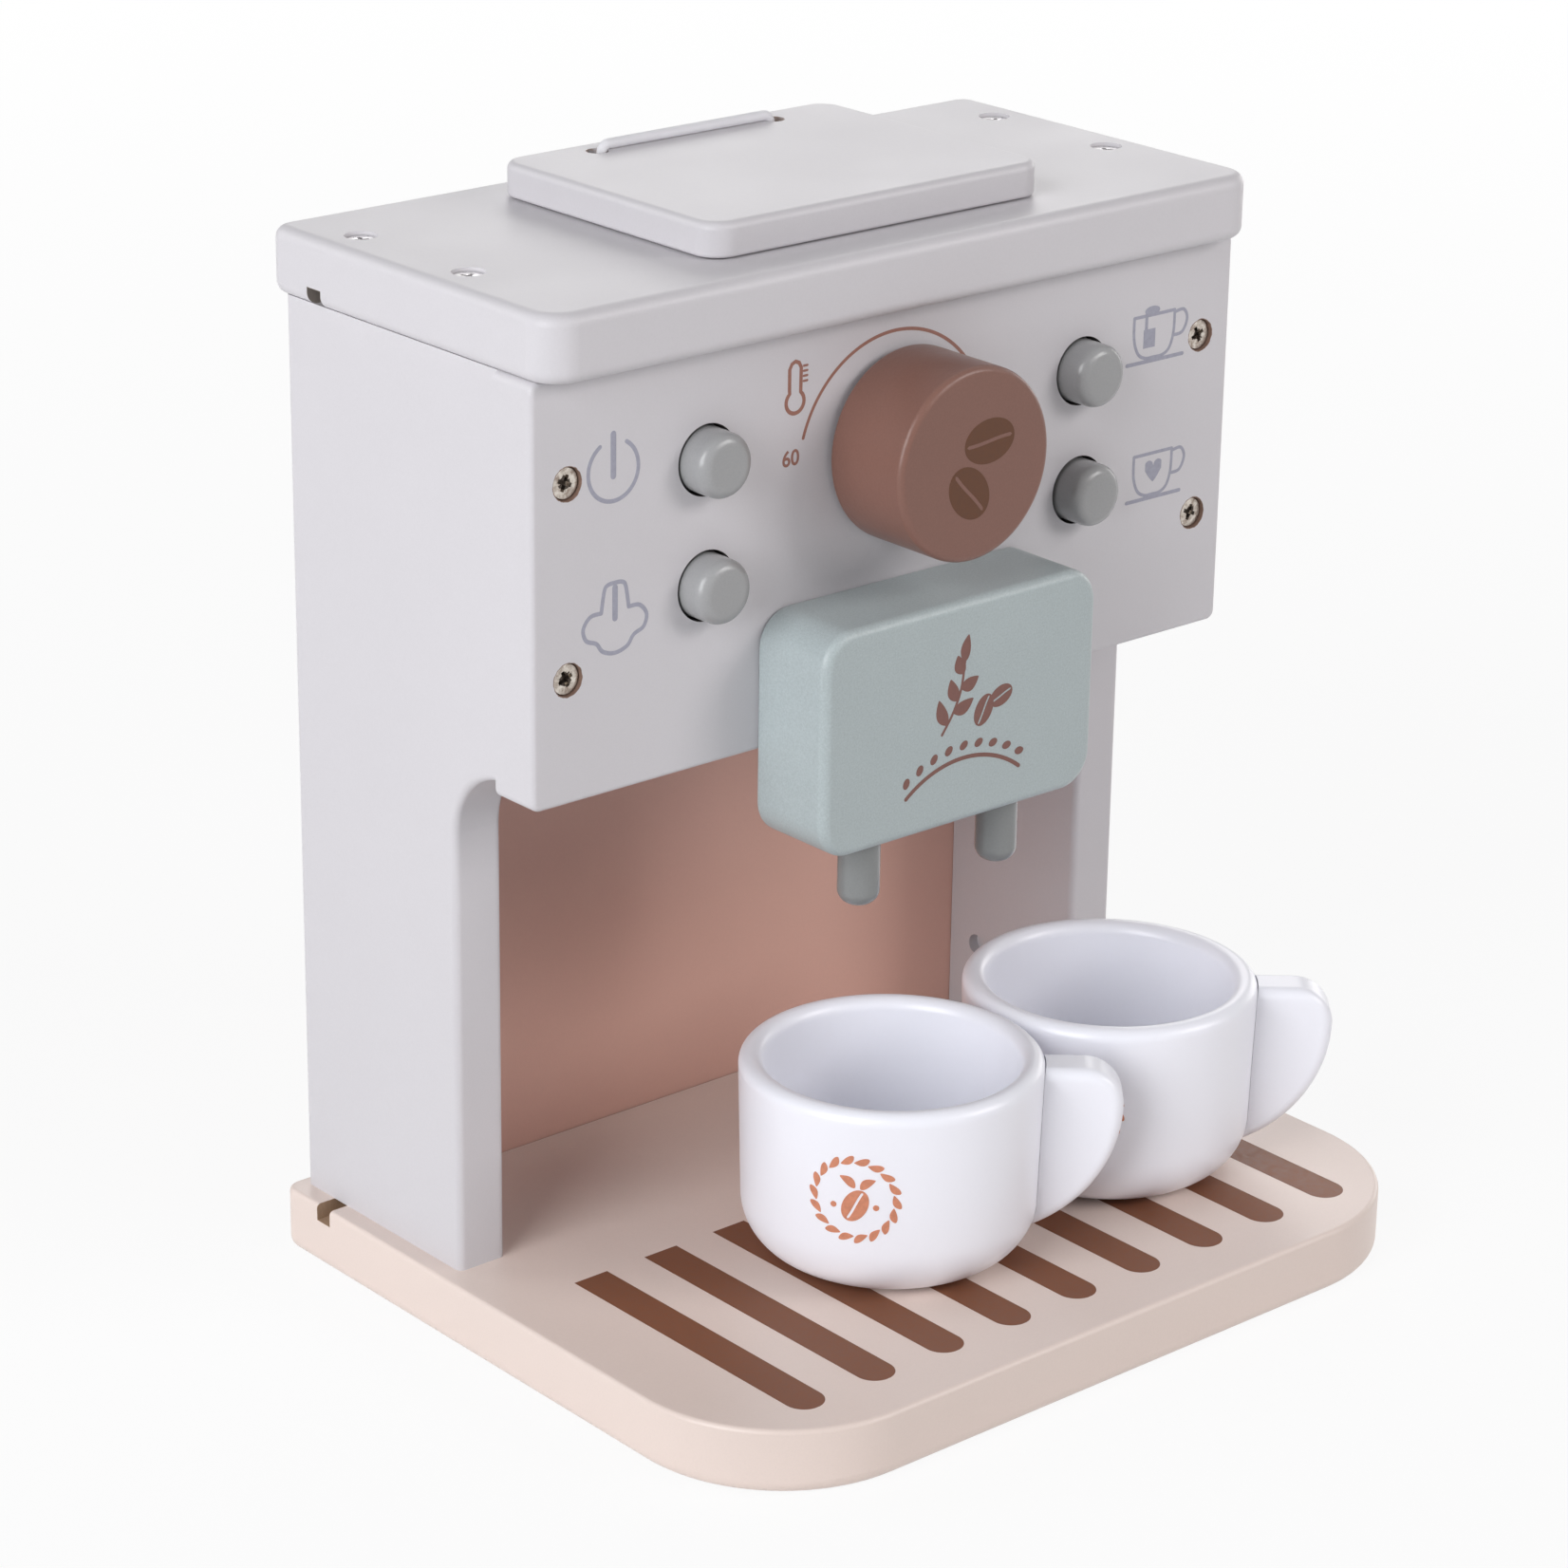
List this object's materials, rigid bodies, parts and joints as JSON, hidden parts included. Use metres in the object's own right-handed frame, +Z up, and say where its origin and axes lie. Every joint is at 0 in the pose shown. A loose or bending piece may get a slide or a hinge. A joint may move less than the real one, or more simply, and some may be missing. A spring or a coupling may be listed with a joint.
{
  "type": "toy coffee maker",
  "caption": "Painted board play coffee maker with sprung push buttons, a turning knob, an elastic-hinged lid, a brewing block with spouts and lift-off cups.",
  "frame": {"origin": "on the ground plane under the middle of the footprint", "axes": "+X to the viewer's right when facing the front panel, the front panel faces -Y, +Z up"},
  "size_m": [0.1886, 0.1536, 0.2274],
  "materials": {
    "wall_paint": "smooth satin pale lilac-grey paint on fibreboard",
    "base_paint": "smooth satin blush paint on fibreboard with printed brown slats",
    "rear_paint": "smooth matt dusty pink paint on thin board",
    "block_paint": "smooth satin grey-green paint on wood",
    "grey_paint": "smooth satin grey paint on turned wood",
    "knob_paint": "smooth satin brown paint on turned wood with printed beans",
    "cup_paint": "smooth glossy white paint on turned wood",
    "elastic": "woven white round elastic",
    "raw_board": "unpainted sanded wood",
    "steel": "plain zinc-coated steel",
    "spacer_felt": "matt grey fibre disc"
  },
  "bodies": {
    "housing": {"base": "base_paint", "side_left": "wall_paint", "side_right": "wall_paint", "rear_panel": "rear_paint", "shelf": "wall_paint", "top_board": "wall_paint", "front_panel": "wall_paint", "brewing_block": "block_paint", "spout_left": "grey_paint", "spout_right": "grey_paint", "button_guide_left": "raw_board", "button_guide_right": "raw_board", "power_spring": "steel", "steam_spring": "steel", "tea_spring": "steel", "coffee_spring": "steel", "elastic_tails": "elastic", "front_screws": "steel", "top_screws": "steel", "base_screws": "steel", "block_screws": "steel", "guide_screws": "steel"},
    "lid": {"lid": "wall_paint", "elastic_loop": "elastic"},
    "knob": {"knob": "knob_paint", "knob_axle": "raw_board", "knob_spacer": "spacer_felt", "axle_washer": "steel", "axle_screw": "steel"},
    "power_button": {"power_button": "grey_paint"},
    "steam_button": {"steam_button": "grey_paint"},
    "tea_button": {"tea_button": "grey_paint"},
    "coffee_button": {"coffee_button": "grey_paint"},
    "cup_left": {"cup_left": "cup_paint", "cup_left_handle": "cup_paint"},
    "cup_right": {"cup_right": "cup_paint", "cup_right_handle": "cup_paint"}
  },
  "joints": [
    {"name": "power_press", "type": "slide", "parent": "housing", "child": "power_button", "axis": [0, 1, 0], "range_m": [0, 0.004], "stiffness_N_per_m": 220, "springref_m": -0.0012, "deforming": ["power_spring"]},
    {"name": "steam_press", "type": "slide", "parent": "housing", "child": "steam_button", "axis": [0, 1, 0], "range_m": [0, 0.004], "stiffness_N_per_m": 220, "springref_m": -0.0012, "deforming": ["steam_spring"]},
    {"name": "tea_press", "type": "slide", "parent": "housing", "child": "tea_button", "axis": [0, 1, 0], "range_m": [0, 0.004], "stiffness_N_per_m": 220, "springref_m": -0.0012, "deforming": ["tea_spring"]},
    {"name": "coffee_press", "type": "slide", "parent": "housing", "child": "coffee_button", "axis": [0, 1, 0], "range_m": [0, 0.004], "stiffness_N_per_m": 220, "springref_m": -0.0012, "deforming": ["coffee_spring"]},
    {"name": "knob_turn", "type": "hinge", "parent": "housing", "child": "knob", "pos_m": [0.0002, -0.00535, 0.177], "axis": [0, 1, 0], "continuous": true},
    {"name": "lid_open", "type": "hinge", "parent": "housing", "child": "lid", "pos_m": [0, 0.06755, 0.2183], "axis": [-1, 0, 0], "range_deg": [0, 90]},
    {"name": "cup_left_lift", "type": "slide", "parent": "housing", "child": "cup_left", "axis": [0, 0, 1], "range_m": [0, 0.025]},
    {"name": "cup_right_lift", "type": "slide", "parent": "housing", "child": "cup_right", "axis": [0, 0, 1], "range_m": [0, 0.025]}
  ]
}
